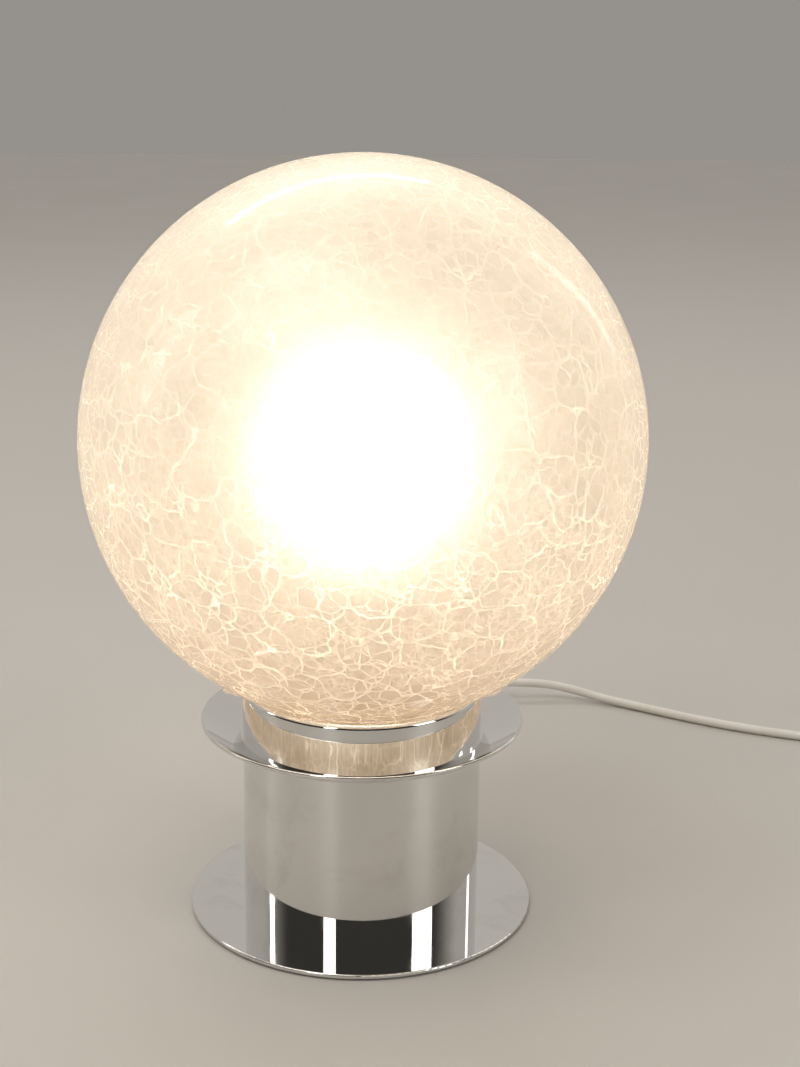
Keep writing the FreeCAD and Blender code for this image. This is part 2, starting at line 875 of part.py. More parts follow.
# ---------------------------------------------------------------- plug
def make_plug_body():
    lower = [(x, -y, 0) for x, y in plug_outline]
    upper = [(x, y, 0) for x, y in reversed(plug_outline)]
    body = polygon_face(lower + upper).extrude(UP * plug_thickness)
    body = round_edges(body, plug_corner_round, lambda p: 0.1 < p.z < plug_thickness - 0.1)
    body = round_edges(body, plug_edge_round, lambda p: p.z < 0.01 or p.z > plug_thickness - 0.01)
    for pin in plug_pins(cord_bore_clearance):
        body = body.cut(pin)
    return placed(body, plug_rear, plug_heading)


def plug_pins(extra=0.0):
    front = plug_outline[-1][0]
    start = front - plug_pin_root - extra
    pins = []
    for side in (-1, 1):
        y = side * plug_pin_spacing / 2
        pins.append(
            rod(
                plug_pin_radius + extra,
                (start, y, plug_thickness / 2),
                (front + plug_pin_length, y, plug_thickness / 2),
            )
        )
    return pins


def make_plug_pins():
    tip = plug_outline[-1][0] + plug_pin_length
    pins = [round_edges(pin, plug_pin_round, lambda p: p.x > tip - 0.01) for pin in plug_pins()]
    return placed(Part.makeCompound(pins), plug_rear, plug_heading)


# ---------------------------------------------------------------- coil
def coil_state(turned):
    """Place of the coil's centre line after so many radians: it spirals in, climbs and spirals out."""
    whole = 2 * math.pi * coil_turns
    rate = coil_pitch / (2 * math.pi)
    climb = math.pi / 2
    inner_radius = coil_outer_radius - rate * (whole / 2 - climb / 2)
    offset = turned - whole / 2
    if abs(offset) < climb:
        radius = inner_radius + rate * offset**2 / (2 * climb)
        share = (offset + climb) / (2 * climb)
        rise = share**2 * (3 - 2 * share)
    else:
        radius = inner_radius + rate * (abs(offset) - climb / 2)
        rise = 0.0 if offset < 0 else 1.0
    angle = math.radians(coil_entry_angle) + turned
    return Vector(
        coil_centre[0] + radius * math.cos(angle),
        coil_centre[1] + radius * math.sin(angle),
        cord_radius + coil_pitch * rise,
    )


def coil_heading(turned):
    step = 1e-4
    heading = coil_state(turned + step) - coil_state(turned - step)
    heading.normalize()
    return heading


def biarc(start, start_way, end, end_way):
    """Two tangent arcs between two points with given directions."""
    span = end - start
    ways = start_way + end_way
    a = 2 * (1 - start_way.dot(end_way))
    b = 2 * span.dot(ways)
    c = -span.dot(span)
    reach = (-b + math.sqrt(b * b - 4 * a * c)) / (2 * a)
    first = start + start_way * reach
    second = end - end_way * reach
    joint = (first + second) * 0.5
    edges = []
    for low, corner, high in ((start, first, joint), (joint, second, end)):
        come, go = corner - low, high - corner
        half_turn = come.getAngle(go) / 2
        radius = come.Length / math.tan(half_turn)
        come.normalize()
        go.normalize()
        inward = go - come
        inward.normalize()
        middle = corner + inward * (radius / math.cos(half_turn) - radius)
        edges.append(Part.Arc(low, middle, high).toShape())
    return edges


def least_gap_to_itself(samples_per_turn=72):
    """Least clear gap between one turn and the others, measured on points of the centre line."""
    count = int(coil_turns * samples_per_turn)
    points = [coil_state(2 * math.pi * coil_turns * i / count) for i in range(count + 1)]
    skip = samples_per_turn // 2
    nearest = min(
        a.distanceToPoint(b) for i, a in enumerate(points) for b in points[i + skip:]
    )
    return nearest - 2 * cord_radius


def coil_ends():
    """First and last point of the coil, at the far ends of its two straight stubs."""
    whole = 2 * math.pi * coil_turns
    stub = 2 * cord_radius
    entry, leave = coil_heading(1e-3), coil_heading(whole - 1e-3)
    return coil_state(0) - entry * stub, entry, coil_state(whole) + leave * stub, leave


def make_cord_coil():
    quarters = round(4 * coil_turns)
    start, entry, end, leave = coil_ends()
    stops = [2 * math.pi * coil_turns * i / quarters for i in range(quarters + 1)]
    edges = [Part.LineSegment(start, coil_state(0)).toShape()]
    ways = [entry] + [coil_heading(t) for t in stops[1:-1]] + [leave]
    for low, high, low_way, high_way in zip(stops, stops[1:], ways, ways[1:]):
        edges += biarc(coil_state(low), low_way, coil_state(high), high_way)
    edges.append(Part.LineSegment(coil_state(stops[-1]), end).toShape())
    print(f"cord_coil: least gap to itself {least_gap_to_itself():.2f} mm")
    return swept_tube("cord_coil", Part.Wire(edges), cord_radius)


# ---------------------------------------------------------------- free stretches of the lead
def make_cord_lead():
    exit_point = Vector(0, boot_tip, cord_exit_height)
    after_exit = Vector(0, boot_tip + lead_first_run, cord_exit_height)
    before_switch = along(switch_start, switch_heading, -lead_last_run, switch_parting)
    at_switch = along(switch_start, switch_heading, 0, switch_parting)
    points = [exit_point, after_exit] + lead_points + [before_switch, at_switch]
    return routed_tube("cord_lead", points, cord_radius)


def make_cord_run():
    at_switch = along(switch_start, switch_heading, switch_length, switch_parting)
    after_switch = along(switch_start, switch_heading, switch_length + run_first_run, switch_parting)
    coil_start, entry = coil_ends()[:2]
    before_coil = coil_start - entry * run_last_run
    points = [at_switch, after_switch] + run_points + [before_coil, coil_start]
    return routed_tube("cord_run", points, cord_radius)


def make_cord_tail():
    coil_end, leave = coil_ends()[2:]
    after_coil = coil_end + leave * tail_first_run
    before_plug = along(plug_rear, plug_heading, -tail_last_run, plug_thickness / 2)
    at_plug = along(plug_rear, plug_heading, 0, plug_thickness / 2)
    return routed_tube("cord_tail", [coil_end, after_coil, before_plug, at_plug], cord_radius)


# ---------------------------------------------------------------- all pieces
def all_pieces():
    return {
        "felt_pad": make_felt_pad(),
        "base_disc": make_base_disc(),
        "base_screws": make_base_screws(),
        "ballast_weight": make_ballast(),
        "lower_washer": washer(lower_nut_top),
        "lower_nut": hex_nut(lower_nut_top - nut_height, nut_height),
        "threaded_tube": make_threaded_tube(),
        "column_tube": make_column_tube(),
        "cord_boot": make_cord_boot(),
        "cord_clamp": make_cord_clamp(),
        "cord_clamp_screws": Part.makeCompound(clamp_screws()),
        "cord_sheath_inside": make_cord_sheath(),
        "wire_live": make_wire("wire_live", 1),
        "wire_neutral": make_wire("wire_neutral", -1),
        "upper_disc": make_upper_disc(),
        "gallery_cup": make_gallery_cup(),
        "gallery_washer": washer(gallery_floor_top),
        "gallery_nut": hex_nut(gallery_floor_top + washer_thickness, nut_height),
        "neck_gasket": make_neck_gasket(),
        "globe": make_globe(),
        "holder_nut": hex_nut(holder_bottom - thin_nut_height, thin_nut_height),
        "holder_base": make_holder_base(),
        "holder_shell": make_holder_shell(),
        "holder_insulator": make_holder_insulator(),
        "screw_shell": make_screw_shell(),
        "centre_contact": make_centre_contact(),
        "terminal_screws": make_terminal_screws(),
        "bulb_glass": make_bulb_glass(),
        "bulb_cap": make_bulb_cap(),
        "bulb_insulator": make_bulb_insulator(),
        "bulb_contact": make_bulb_contact(),
        "cord_lead": make_cord_lead(),
        "switch_base_shell": on_switch(make_switch_base()),
        "switch_top_shell": on_switch(make_switch_top()),
        "switch_rocker": on_switch(make_rocker()),
        "rocker_pin": on_switch(rocker_pin()),
        "switch_contacts": on_switch(make_switch_contacts()),
        "switch_screws": on_switch(Part.makeCompound(switch_screws())),
        "cord_run": make_cord_run(),
        "cord_coil": make_cord_coil(),
        "cord_tail": make_cord_tail(),
        "plug_body": make_plug_body(),
        "plug_pins": make_plug_pins(),
    }


os.makedirs("parts", exist_ok=True)
for name, shape in all_pieces().items():
    for solid in shape.Solids:
        if not solid.isValid():
            print(f"{name}: a solid is not valid")
    print(f"{name}: {len(shape.Solids)} solid(s), {shape.Volume / 1000:.2f} cm3")
    shape.exportStep(f"parts/{name}.step")
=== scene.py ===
"""Looks of the glass globe table lamp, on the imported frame. Metres, +Z up, the front is -Y."""
import bpy
import json
import math
from mathutils import Matrix, Vector


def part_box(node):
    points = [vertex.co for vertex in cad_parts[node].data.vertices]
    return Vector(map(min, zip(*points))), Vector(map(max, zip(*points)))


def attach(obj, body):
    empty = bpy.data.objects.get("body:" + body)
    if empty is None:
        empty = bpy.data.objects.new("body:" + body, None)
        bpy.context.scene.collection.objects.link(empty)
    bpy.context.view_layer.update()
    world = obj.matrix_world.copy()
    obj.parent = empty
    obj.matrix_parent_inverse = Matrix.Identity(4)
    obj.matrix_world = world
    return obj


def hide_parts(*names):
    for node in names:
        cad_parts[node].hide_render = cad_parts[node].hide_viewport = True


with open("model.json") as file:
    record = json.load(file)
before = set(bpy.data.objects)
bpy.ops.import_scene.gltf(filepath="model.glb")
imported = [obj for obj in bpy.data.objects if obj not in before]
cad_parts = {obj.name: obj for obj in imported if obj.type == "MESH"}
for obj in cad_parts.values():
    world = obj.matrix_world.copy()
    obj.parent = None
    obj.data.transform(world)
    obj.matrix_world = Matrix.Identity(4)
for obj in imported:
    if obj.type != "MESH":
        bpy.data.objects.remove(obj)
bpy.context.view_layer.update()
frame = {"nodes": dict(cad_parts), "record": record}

scene = bpy.context.scene
nodes = frame["nodes"]

# ---------------------------------------------------------------- sizes taken over from the frame
GLOBE_CENTRE = 0.22225
GLOBE_RADIUS = 0.125
GLOBE_WALL = 0.0036
GLOBE_CUT = 0.1077
NECK_TOP = 0.106
NECK_RADIUS = 0.047
NECK_FOOT = 0.0889
LEAD_HEIGHT = 0.012
LEAD_EXIT = 0.0871
LEAD_RADIUS = 0.0025
COIL_X = 0.314
COIL_Y = 0.2235
COIL_RADIUS = 0.0372
COIL_PITCH = 0.0056
COIL_TURNS = 6.25
COIL_ANGLE = 2 * math.pi * COIL_TURNS
SWITCH_START = Vector((-0.040, 0.190, 0.0))
SWITCH_HEADING = math.radians(105.0)
PLUG_REAR = Vector((0.346, 0.290, 0.0))
PLUG_HEADING = math.radians(104.0)
PLUG_THICKNESS = 0.0137


# ---------------------------------------------------------------- camera
def place_camera():
    """The photograph's viewpoint, fitted to the rims of both discs and to the globe's outline."""
    ahead = Vector((0.02023, 0.96057, -0.27731)).normalized()
    level = ahead.cross(Vector((0.0, 0.0, 1.0))).normalized()
    upright = level.cross(ahead)
    roll = math.radians(0.70)
    right = math.cos(roll) * level + math.sin(roll) * upright
    up = -math.sin(roll) * level + math.cos(roll) * upright
    camera = bpy.data.objects.new("camera", bpy.data.cameras.new("camera"))
    camera.data.lens = 61.35
    camera.data.sensor_width = 36.0
    camera.data.clip_start = 0.01
    pose = Matrix((right, up, -ahead)).transposed().to_4x4()
    pose.translation = Vector((0.0, -0.7849, 0.4061))
    camera.matrix_world = pose
    scene.collection.objects.link(camera)
    scene.camera = camera


place_camera()


# ---------------------------------------------------------------- mains lead
def coil_point(turned, widen=1.0):
    """Centre of the wound lead after so many radians: it spirals in, climbs, and spirals out."""
    rate = COIL_PITCH / (2 * math.pi)
    climb = math.pi / 2
    inner = COIL_RADIUS - rate * (COIL_ANGLE / 2 - climb / 2)
    offset = turned - COIL_ANGLE / 2
    if abs(offset) < climb:
        radius = inner + rate * offset**2 / (2 * climb)
        share = (offset + climb) / (2 * climb)
        rise = share**2 * (3 - 2 * share)
    else:
        radius = inner + rate * (abs(offset) - climb / 2)
        rise = 0.0 if offset < 0 else 1.0
    angle = turned - math.pi / 2
    radius *= widen
    x = COIL_X + radius * math.cos(angle)
    y = COIL_Y + radius * math.sin(angle)
    return Vector((x, y, LEAD_RADIUS + COIL_PITCH * rise))


def lead_route():
    """Control points of the lead, from the strain relief by the switch and the coil to the plug."""
    per_turn = 16
    widen = 1 / math.cos(math.pi / per_turn)
    entry = (coil_point(1e-3) - coil_point(0)).normalized()
    leave = (coil_point(COIL_ANGLE) - coil_point(COIL_ANGLE - 1e-3)).normalized()
    coil_start = coil_point(0) - entry * 0.005
    coil_end = coil_point(COIL_ANGLE) + leave * 0.005
    plug_way = Vector((math.cos(PLUG_HEADING), math.sin(PLUG_HEADING), 0.0))
    plug_rear = PLUG_REAR + Vector((0.0, 0.0, PLUG_THICKNESS / 2))
    route = [
        Vector((0.0, LEAD_EXIT, LEAD_HEIGHT)),
        Vector((0.0, 0.1021, 0.012)),
        Vector((-0.003, 0.122, 0.0086)),
        Vector((-0.011, 0.143, 0.0046)),
        Vector((-0.024, 0.1605, 0.0042)),
        Vector((-0.036635, 0.177443, 0.006)),
        Vector((-0.040, 0.190, 0.006)),
        Vector((-0.056047, 0.249887, 0.006)),
        Vector((-0.060188, 0.265342, 0.006)),
        Vector((-0.0565, 0.289, 0.0034)),
        Vector((-0.039, 0.309, 0.0026)),
        Vector((-0.011, 0.317, 0.0026)),
        Vector((0.017, 0.308, 0.0027)),
        Vector((0.0405, 0.2875, 0.0034)),
        Vector((0.063, 0.2675, 0.0072)),
        Vector((0.087, 0.2575, 0.0108)),
        Vector((0.1095, 0.259, 0.010)),
        Vector((0.129, 0.2575, 0.0066)),
        Vector((0.147, 0.2505, 0.0032)),
        Vector((0.168, 0.2385, 0.0026)),
        Vector((0.194, 0.2215, 0.0025)),
        Vector((0.222, 0.2065, 0.0025)),
        Vector((0.253, 0.194, 0.0025)),
        coil_start - entry * 0.026,
        coil_start,
    ]
    steps = round(COIL_TURNS * per_turn)
    for step in range(1, steps):
        route.append(coil_point(COIL_ANGLE * step / steps, widen))
    route += [coil_end, coil_end + leave * 0.016, plug_rear - plug_way * 0.014, plug_rear]
    return route


def make_lead():
    """One smooth tube. Its bevel is one metre deep, so each point's radius is the lead's own."""
    curve = bpy.data.curves.new("mains_lead", "CURVE")
    curve.dimensions = "3D"
    route = lead_route()
    spline = curve.splines.new("NURBS")
    spline.points.add(len(route) - 1)
    for point, place in zip(spline.points, route):
        point.co = (*place, 1.0)
        point.radius = LEAD_RADIUS
    spline.order_u = 3
    spline.use_endpoint_u = True
    spline.resolution_u = 8
    curve.bevel_depth = 1.0
    curve.bevel_resolution = 5
    curve.use_fill_caps = True
    lead = bpy.data.objects.new("mains_lead", curve)
    scene.collection.objects.link(lead)
    return lead


lead = make_lead()
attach(lead, "lamp")
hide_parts("cord_lead", "cord_run", "cord_coil", "cord_tail")


# ---------------------------------------------------------------- modelling helpers
def nothing_selected():
    if bpy.context.object and bpy.context.object.mode != "OBJECT":
        bpy.ops.object.mode_set(mode="OBJECT")
    bpy.ops.object.select_all(action="DESELECT")


def pick(piece, kind, wanted):
    """Selects the faces, edges or points that pass the test, and nothing else."""
    bpy.ops.mesh.select_mode(type=kind)
    bpy.ops.mesh.select_all(action="DESELECT")
    bpy.ops.object.mode_set(mode="OBJECT")
    mesh = piece.data
    if kind == "VERT":
        for point in mesh.vertices:
            point.select = wanted(point.co)
    elif kind == "EDGE":
        for edge in mesh.edges:
            edge.select = wanted(*(mesh.vertices[i].co for i in edge.vertices))
    else:
        for face in mesh.polygons:
            face.select = wanted(face)
    bpy.ops.object.mode_set(mode="EDIT")


def cut_across(place):
    """Cuts the whole mesh in edit mode by a plane across x."""
    bpy.ops.mesh.select_all(action="SELECT")
    bpy.ops.mesh.bisect(plane_co=(place, 0, 0), plane_no=(1, 0, 0))


def trace_and_spin(name, outline, centre, axis, steps):
    """Draws an outline point by point with extrude, and spins it into a turned piece."""
    nothing_selected()
    bpy.ops.mesh.primitive_plane_add(size=0.001, location=(0, 0, 0))
    piece = bpy.context.object
    piece.name = name
    bpy.ops.object.mode_set(mode="EDIT")
    bpy.ops.mesh.select_all(action="SELECT")
    bpy.ops.mesh.merge(type="CENTER")
    bpy.ops.transform.translate(value=outline[0])
    for here, there in zip(outline, outline[1:]):
        bpy.ops.mesh.extrude_region_move(TRANSFORM_OT_translate={"value": there - here})
    last = len(outline) - 1
    bpy.ops.object.mode_set(mode="OBJECT")
    for point in piece.data.vertices:
        point.select = point.index in (0, last)
    bpy.ops.object.mode_set(mode="EDIT")
    bpy.ops.mesh.edge_face_add()
    bpy.ops.mesh.select_all(action="SELECT")
    bpy.ops.mesh.spin(steps=steps, angle=2 * math.pi, center=centre, axis=axis)
    bpy.ops.mesh.select_all(action="SELECT")
    bpy.ops.mesh.remove_doubles(threshold=1e-6)
    bpy.ops.mesh.normals_make_consistent(inside=False)
    bpy.ops.object.mode_set(mode="OBJECT")
    return piece


def soften(piece, width, segments, angle):
    """A bevel on the sharp edges, then smooth shading that keeps what is still sharp."""
    nothing_selected()
    piece.select_set(True)
    bpy.context.view_layer.objects.active = piece
    bevel = piece.modifiers.new("rounded_edges", "BEVEL")
    bevel.width = width
    bevel.segments = segments
    bevel.limit_method = "ANGLE"
    bevel.angle_limit = math.radians(angle)
    bpy.ops.object.modifier_apply(modifier=bevel.name)
    bpy.ops.object.shade_smooth_by_angle(angle=math.radians(50))


def set_down(piece, start, heading):
    """Turns a piece made along +X to its heading, sets it down, and applies the place."""
    nothing_selected()
    piece.select_set(True)
    bpy.context.view_layer.objects.active = piece
    piece.rotation_euler = (0.0, 0.0, heading)
    piece.location = start
    bpy.ops.object.transform_apply(location=True, rotation=True, scale=True)


def finish_piece(piece, body, slot_name, *replaced):
    """Hangs the piece under the empty of the body that carries it, and hides the frame's parts that it
    stands in for.
    """
    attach(piece, body)
    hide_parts(*replaced)


# ---------------------------------------------------------------- glass globe
def make_globe():
    """A sphere cut open at the bottom, drawn down into its neck, and given its wall inwards."""
    nothing_selected()
    bpy.ops.mesh.primitive_uv_sphere_add(
        segments=160, ring_count=96, radius=GLOBE_RADIUS, location=(0, 0, GLOBE_CENTRE)
    )
    globe = bpy.context.object
    globe.name = "crackle_globe"
    bpy.ops.object.transform_apply(location=True, rotation=True, scale=True)
    bpy.ops.object.mode_set(mode="EDIT")
    bpy.ops.mesh.select_all(action="SELECT")
    bpy.ops.mesh.bisect(plane_co=(0, 0, GLOBE_CUT), plane_no=(0, 0, 1), clear_inner=True)
    radius = math.sqrt(GLOBE_RADIUS**2 - (GLOBE_CENTRE - GLOBE_CUT) ** 2)
    height = GLOBE_CUT
    steps = [
        (0.0485, 0.1068),
        (0.0474, 0.1058),
        (NECK_RADIUS, 0.1044),
        (NECK_RADIUS, 0.0970),
        (NECK_RADIUS, NECK_FOOT),
    ]
    pick(globe, "VERT", lambda p: p.z < GLOBE_CUT + 1e-5)
    for new_radius, new_height in steps:
        share = new_radius / radius
        drop = (0, 0, new_height - height)
        bpy.ops.mesh.extrude_region_move(TRANSFORM_OT_translate={"value": drop})
        bpy.ops.transform.resize(value=(share, share, 1.0))
        radius, height = new_radius, new_height
    bpy.ops.object.mode_set(mode="OBJECT")
    wall = globe.modifiers.new("blown_wall", "SOLIDIFY")
    wall.thickness = GLOBE_WALL
    wall.offset = -1.0
    wall.use_even_offset = True
    bpy.ops.object.modifier_apply(modifier=wall.name)
    rim = globe.modifiers.new("fire_polished_rim", "BEVEL")
    rim.width = 0.0012
    rim.segments = 3
    rim.limit_method = "ANGLE"
    rim.angle_limit = math.radians(60)
    bpy.ops.object.modifier_apply(modifier=rim.name)
    bpy.ops.object.shade_smooth()
    return globe


globe = make_globe()
finish_piece(globe, "globe", "crackle_glass", "globe")


# ---------------------------------------------------------------- strain relief on the lead
def make_strain_relief():
    """Flange, neck through the column, and a taper with seven bending grooves."""
    bore = 0.0026
    outline = [(0.0505, bore), (0.0505, 0.0070), (0.0530, 0.0070), (0.0530, 0.0049)]
    outline += [(0.0551, 0.0049), (0.0551, 0.0070), (0.0566, 0.0070), (0.0571, 0.0064)]
    outline += [(0.0571, 0.0055)]
    first, last = 0.0598, 0.0846
    grooves = 7
    pitch = (last - first) / grooves
    for number in range(grooves):
        start = first + pitch * number
        taper = 0.0055 - 0.0019 * (start - 0.0571) / 0.030
        outline += [
            (start, taper),
            (start + 0.25 * pitch, taper - 0.0011),
            (start + 0.50 * pitch, taper - 0.0011),
            (start + 0.75 * pitch, taper - 0.00008),
        ]
    outline += [(0.0862, 0.0037), (0.0870, 0.0033), (LEAD_EXIT, bore)]
    points = [Vector((0.0, y, LEAD_HEIGHT + r)) for y, r in outline]
    relief = trace_and_spin("strain_relief", points, (0.0, 0.0, LEAD_HEIGHT), (0.0, 1.0, 0.0), 40)
    soften(relief, 0.00018, 2, 30.0)
    return relief


relief = make_strain_relief()
finish_piece(relief, "lamp", "white_pvc", "cord_boot")


# ---------------------------------------------------------------- lamp holder's ribbed sleeve
def make_holder_sleeve():
    """Turned sleeve with grip ribs, drawn in at its mouth."""
    low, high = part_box("holder_shell")
    bottom, top = low.z, high.z
    outer, inner, mouth = 0.0200, 0.0180, 0.0152
    first_rib = bottom + 0.0040
    outline = [(inner, bottom), (outer, bottom), (outer, first_rib)]
    ribs = 8
    pitch = 0.0024
    for number in range(ribs):
        start = first_rib + pitch * number
        outline += [
            (outer - 0.0006, start + 0.25 * pitch),
            (outer - 0.0006, start + 0.50 * pitch),
            (outer, start + 0.75 * pitch),
            (outer, start + pitch),
        ]
    outline += [(outer, top - 0.0012), (outer - 0.0004, top - 0.0004), (outer - 0.0012, top)]
    outline += [(mouth + 0.0006, top), (mouth, top - 0.0006)]
    outline += [(mouth, top - 0.0020), (inner, top - 0.0020)]
    points = [Vector((r, 0.0, z)) for r, z in outline]
    sleeve = trace_and_spin("holder_sleeve", points, (0, 0, 0), (0, 0, 1), 96)
    soften(sleeve, 0.00015, 2, 30.0)
    return sleeve


sleeve = make_holder_sleeve()
finish_piece(sleeve, "lamp", "holder_plastic", "holder_shell")


# ---------------------------------------------------------------- switch
def make_rocker_button():
    """Seesaw button: dished top with finger grooves at its far end, keel below, tilted on its pin."""
    half, side = 0.0102, 0.0056
    cuts = (-0.0075, -0.0050, -0.0025, 0.0, 0.0025, 0.0050, 0.0075)
    nothing_selected()
    bpy.ops.mesh.primitive_cube_add(size=2.0, location=(0, 0, 0))
    button = bpy.context.object
    button.name = "rocker_button"
    button.scale = (half, side, 0.0017)
    button.location = (0, 0, 0.0017)
    bpy.ops.object.transform_apply(location=True, rotation=True, scale=True)
    bpy.ops.object.mode_set(mode="EDIT")
    for place in cuts:
        cut_across(place)
    for place in cuts:
        drop = 0.0018 * (1 - (abs(place) / half) ** 2)
        pick(button, "VERT", lambda p: abs(p.x - place) < 1e-5 and p.z > 0.003)
        bpy.ops.transform.translate(value=(0, 0, -drop))
    pick(button, "FACE", lambda f: f.normal.z < -0.9 and abs(f.center.x) < 0.0052)
    bpy.ops.mesh.extrude_region_move(TRANSFORM_OT_translate={"value": (0, 0, -0.0045)})
    bpy.ops.transform.resize(value=(0.8, 1.0, 1.0))
    for place in (0.0062, 0.0076, 0.0090):
        cut_across(place - 0.0003)
        cut_across(place + 0.0003)
        pick(
            button,
            "FACE",
            lambda f: f.normal.z > 0.6 and abs(f.center.x - place) < 0.0002 and f.center.z > 0.001,
        )
        bpy.ops.mesh.inset(thickness=0.0001, depth=0.0, use_boundary=True)
        bpy.ops.mesh.extrude_region_move(TRANSFORM_OT_translate={"value": (0, 0, -0.0004)})
    bpy.ops.object.mode_set(mode="OBJECT")
    soften(button, 0.00045, 3, 35.0)
    button.rotation_euler = (0.0, math.radians(-8.0), 0.0)
    button.location = (0.031, 0.0, 0.0128)
    bpy.ops.object.transform_apply(location=True, rotation=True, scale=True)
    set_down(button, SWITCH_START, SWITCH_HEADING)
    return button


rocker = make_rocker_button()
finish_piece(rocker, "rocker", "switch_plastic", "switch_rocker")


# ---------------------------------------------------------------- plug
def make_plug_shell():
    """Flat plug body, widening from the lead to the pins, with three finger grooves on each face."""
    stations = [(0.0, 0.0065), (0.009, 0.0080), (0.020, 0.01765), (0.036, 0.01765)]
    grooves = (0.0235, 0.0275, 0.0315)
    nothing_selected()
    bpy.ops.mesh.primitive_cube_add(size=1.0, location=(0.018, 0.0, PLUG_THICKNESS / 2))
    plug = bpy.context.object
    plug.name = "plug_shell"
    plug.scale = (0.036, 0.02, PLUG_THICKNESS)
    bpy.ops.object.transform_apply(location=True, rotation=True, scale=True)
    bpy.ops.object.mode_set(mode="EDIT")
    for place in (0.009, 0.0145, 0.020):
        cut_across(place)
    widths = dict(stations)
    widths[0.0145] = 0.0124
    for place, half in widths.items():
        pick(plug, "VERT", lambda p: abs(p.x - place) < 1e-5)
        centre = (place, 0.0, PLUG_THICKNESS / 2)
        bpy.ops.transform.resize(value=(1.0, half / 0.01, 1.0), center_override=centre)
    pick(plug, "EDGE", lambda a, b: abs(a.x - b.x) < 1e-6 and abs(a.y - b.y) < 1e-6)
    bpy.ops.mesh.bevel(offset=0.002, segments=4, affect="EDGES")
    for place in grooves:
        cut_across(place - 0.0006)
        cut_across(place + 0.0006)
    for way in (1.0, -1.0):
        pick(
            plug,
            "FACE",
            lambda f: f.normal.z * way > 0.9
            and min(abs(f.center.x - place) for place in grooves) < 0.0002,
        )
        bpy.ops.mesh.inset(thickness=0.0002, depth=0.0, use_boundary=True)
        bpy.ops.transform.resize(value=(1.0, 0.72, 1.0))
        bpy.ops.mesh.extrude_region_move(TRANSFORM_OT_translate={"value": (0, 0, -0.0007 * way)})
    bpy.ops.object.mode_set(mode="OBJECT")
    soften(plug, 0.0008, 3, 35.0)
    set_down(plug, PLUG_REAR, PLUG_HEADING)
    return plug


plug = make_plug_shell()
finish_piece(plug, "lamp", "plug_plastic", "plug_body")


# ---------------------------------------------------------------- material helpers
def inlet(made, name):
    for socket in made.inputs:
        if socket.identifier == name:
            return socket
    return made.inputs[name]


def add(tree, kind, sockets=None, **settings):
    """Adds a shader node, with its settings, and its sockets set or linked."""
    made = tree.nodes.new(kind)
    for name, value in settings.items():
        setattr(made, name, value)
    for name, value in (sockets or {}).items():
        if isinstance(value, bpy.types.NodeSocket):
            tree.links.new(value, inlet(made, name))
        else:
            inlet(made, name).default_value = value
    return made


def blend_colours(tree, share, first, second):
    sockets = {"Factor_Float": share, "A_Color": first, "B_Color": second}
    return add(tree, "ShaderNodeMix", sockets, data_type="RGBA").outputs[2]


def reshape(tree, value, low, high, to_low, to_high, smooth=False):
    sockets = {"Value": value, "From Min": low, "From Max": high, "To Min": to_low, "To Max": to_high}
    kind = "SMOOTHSTEP" if smooth else "LINEAR"
    return add(tree, "ShaderNodeMapRange", sockets, interpolation_type=kind).outputs[0]


def sum_up(tree, operation, first, second):
    sockets = {"Value": first, "Value_001": second}
    return add(tree, "ShaderNodeMath", sockets, operation=operation).outputs[0]


def object_place(tree):
    return add(tree, "ShaderNodeTexCoord").outputs["Object"]


def noise(tree, place, scale, detail):
    sockets = {"Vector": place, "Scale": scale, "Detail": detail}
    return add(tree, "ShaderNodeTexNoise", sockets).outputs[0]


def scale_vector(tree, vector, factor):
    sockets = {"Vector": vector, "Scale": factor}
    return add(tree, "ShaderNodeVectorMath", sockets, operation="SCALE").outputs[0]


def new_group(name, inlets, outlets):
    tree = bpy.data.node_groups.new(name, "ShaderNodeTree")
    for label, kind, value in inlets:
        socket = tree.interface.new_socket(label, in_out="INPUT", socket_type="NodeSocket" + kind)
        socket.default_value = value
    for label, kind in outlets:
        tree.interface.new_socket(label, in_out="OUTPUT", socket_type="NodeSocket" + kind)
    given = tree.nodes.new("NodeGroupInput").outputs
    result = tree.nodes.new("NodeGroupOutput").inputs
    return tree, given, result


def place_group(tree, group, **values):
    made = tree.nodes.new("ShaderNodeGroup")
    made.node_tree = group
    for label, value in values.items():
        socket = made.inputs[label.replace("_", " ")]
        if isinstance(value, bpy.types.NodeSocket):
            tree.links.new(value, socket)
        else:
            socket.default_value = value
    return made.outputs


